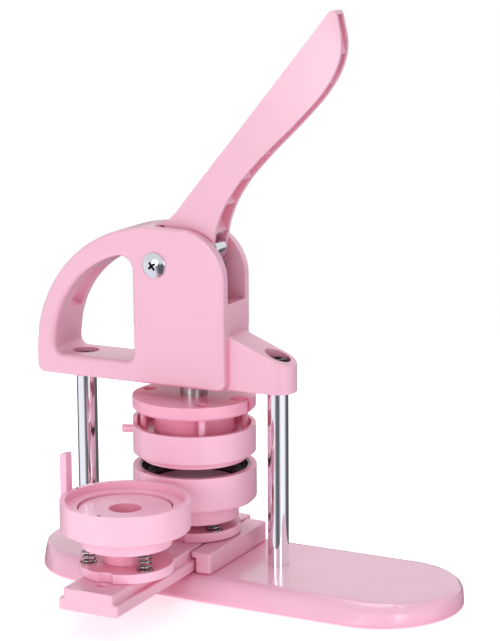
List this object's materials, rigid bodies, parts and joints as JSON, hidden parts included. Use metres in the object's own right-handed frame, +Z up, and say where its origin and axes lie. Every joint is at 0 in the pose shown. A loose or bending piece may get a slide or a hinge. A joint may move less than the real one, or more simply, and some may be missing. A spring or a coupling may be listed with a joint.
{
  "type": "button badge press",
  "caption": "Hand press with a long lever, two columns, a rising upper die and a slide that carries two sprung lower dies, for making round pin badges.",
  "frame": {"origin": "underside of the feet, on the ram axis", "axes": "+X along the base towards the end the lever is pulled down over, +Y back along the die slide, +Z up"},
  "size_m": [0.2792, 0.1827, 0.3526],
  "materials": {
    "pink_shell": "satin",
    "pink_die": "satin",
    "column_chrome": "polished",
    "bright_chrome": "polished",
    "steel": "satin",
    "blackened": "gloss",
    "bronze": "satin",
    "black_rubber": "matte"
  },
  "bodies": {
    "stand": {"base_shell": "pink_shell", "rubber_feet": "black_rubber", "guide_rails": "pink_shell", "rail_screws": "steel", "columns": "column_chrome", "foot_bolts": "blackened", "foot_washers": "steel", "head_housing": "pink_shell", "head_bolts": "blackened", "head_washers": "steel", "ram_bush": "bronze", "pivot_bolt": "bright_chrome", "pivot_nut": "bright_chrome", "return_spring": "steel"},
    "lever": {"lever_shell": "pink_shell", "lever_bush": "steel", "roller_pin": "steel"},
    "roller": {"roller": "bright_chrome"},
    "ram": {"ram_shaft": "steel", "ram_head": "steel", "press_disc": "pink_die", "press_plate": "pink_die", "plate_studs": "pink_die", "plate_screw": "steel"},
    "ring": {"upper_ring": "pink_die"},
    "slide": {"slide_bar": "pink_die", "tray_a": "pink_die", "tray_b": "pink_die", "boss_a": "pink_die", "boss_b": "pink_die", "boss_screws": "steel", "core_a": "pink_die", "core_b": "pink_die", "springs_a": "steel", "springs_b": "steel"},
    "front_die": {"cup_a": "pink_die"},
    "rear_die": {"cup_b": "pink_die", "crimp_ring": "blackened"}
  },
  "joints": [
    {"name": "lever_pivot", "type": "hinge", "parent": "stand", "child": "lever", "pos_m": [-0.017, 0, 0.1972], "axis": [0, 1, 0], "range_deg": [0, 22.5]},
    {"name": "roller_spin", "type": "hinge", "parent": "lever", "child": "roller", "pos_m": [0.0141, 0, 0.2062], "axis": [0, 1, 0], "continuous": true},
    {"name": "ram_slide", "type": "slide", "parent": "stand", "child": "ram", "axis": [0, 0, -1], "range_m": [0, 0.0127], "stiffness_N_per_m": 330, "springref_m": -0.03, "deforming": ["return_spring"]},
    {"name": "ring_turn", "type": "hinge", "parent": "ram", "child": "ring", "pos_m": [0, 0, 0.0912], "axis": [0, 0, -1], "range_deg": [0, 27]},
    {"name": "die_slide", "type": "slide", "parent": "stand", "child": "slide", "axis": [0, 1, 0], "range_m": [0, 0.0864]},
    {"name": "front_die_float", "type": "slide", "parent": "slide", "child": "front_die", "axis": [0, 0, -1], "range_m": [0, 0.0054], "stiffness_N_per_m": 600, "springref_m": -0.006, "deforming": ["springs_a"]},
    {"name": "rear_die_float", "type": "slide", "parent": "slide", "child": "rear_die", "axis": [0, 0, -1], "range_m": [0, 0.0043], "stiffness_N_per_m": 600, "springref_m": -0.006, "deforming": ["springs_b"]}
  ],
  "couplings": [
    {"joint": "ram_slide", "follows": "lever_pivot", "m_per_rad": 0.0323},
    {"joint": "front_die_float", "follows": "lever_pivot", "m_per_rad": 0.0135},
    {"joint": "rear_die_float", "follows": "lever_pivot", "m_per_rad": 0.0107},
    {"joint": "ring_turn", "follows": "die_slide", "rad_per_m": 5.4541}
  ]
}
